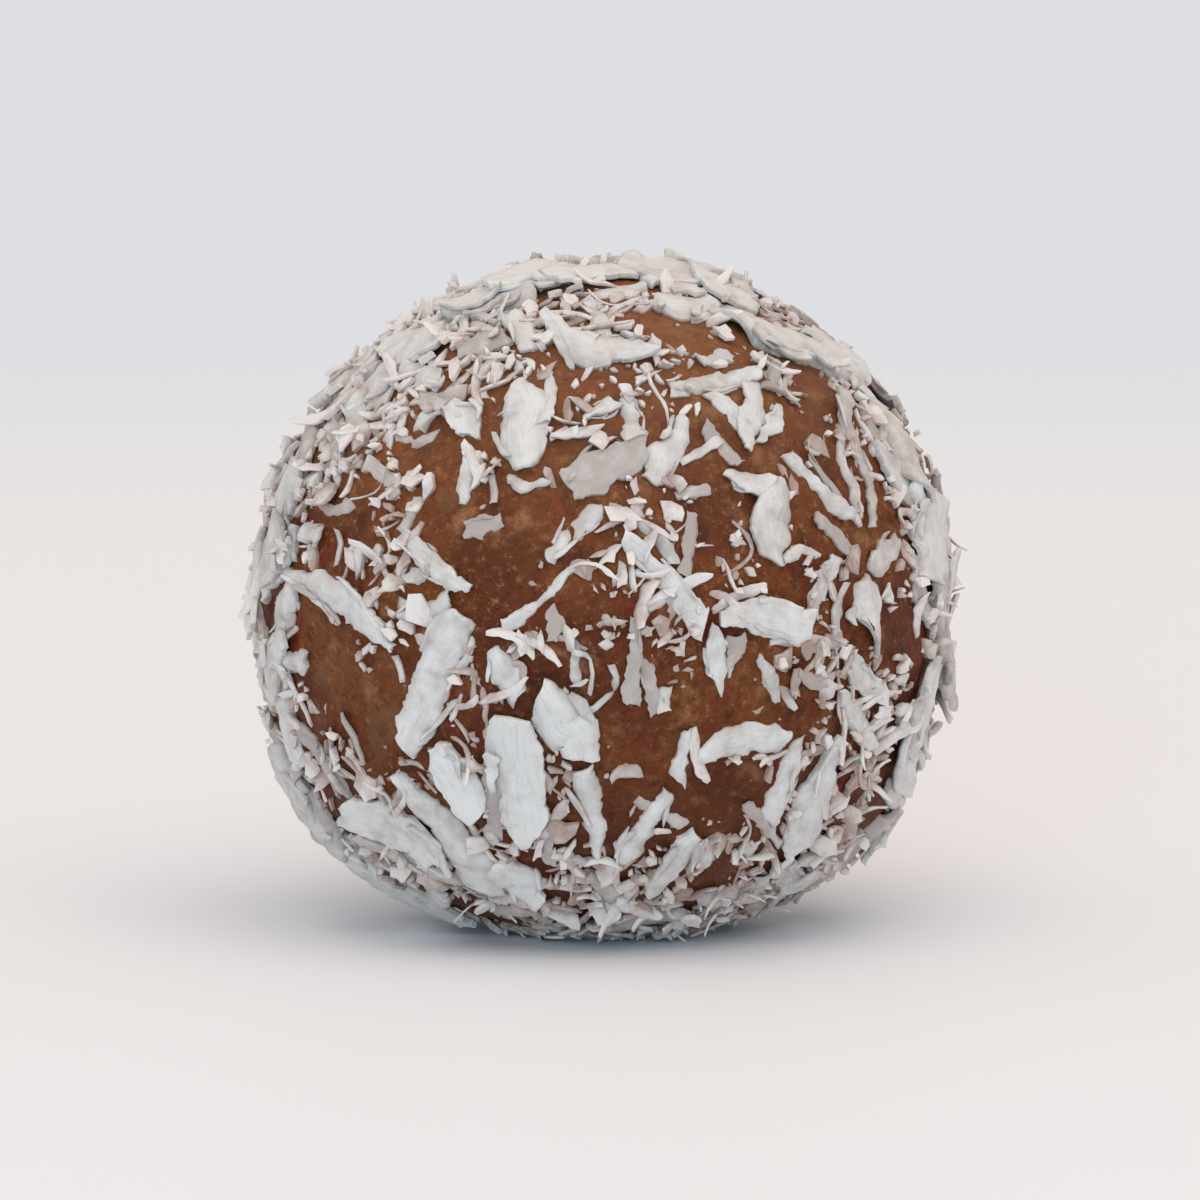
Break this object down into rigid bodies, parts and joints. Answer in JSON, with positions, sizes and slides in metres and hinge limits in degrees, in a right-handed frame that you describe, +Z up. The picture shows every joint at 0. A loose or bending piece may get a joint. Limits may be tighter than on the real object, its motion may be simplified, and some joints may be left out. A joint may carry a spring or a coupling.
{
  "type": "energy ball",
  "caption": "Hand-rolled ball of dark date and nut paste, coated all over in ragged flakes of desiccated coconut, resting on a small flat spot.",
  "frame": {"origin": "middle of the flat spot that the ball rests on", "axes": "+Z up, -Y towards the viewer of the picture, +X to the viewer's right"},
  "size_m": [0.0327, 0.0316, 0.031],
  "materials": {
    "date_paste": "moist, slightly glossy date and nut paste, brown with reddish and tan mottling",
    "coconut": "matt, fibrous, slightly translucent white coconut flesh"
  },
  "bodies": {
    "root": {"energy_ball": "date_paste"}
  },
  "joints": []
}
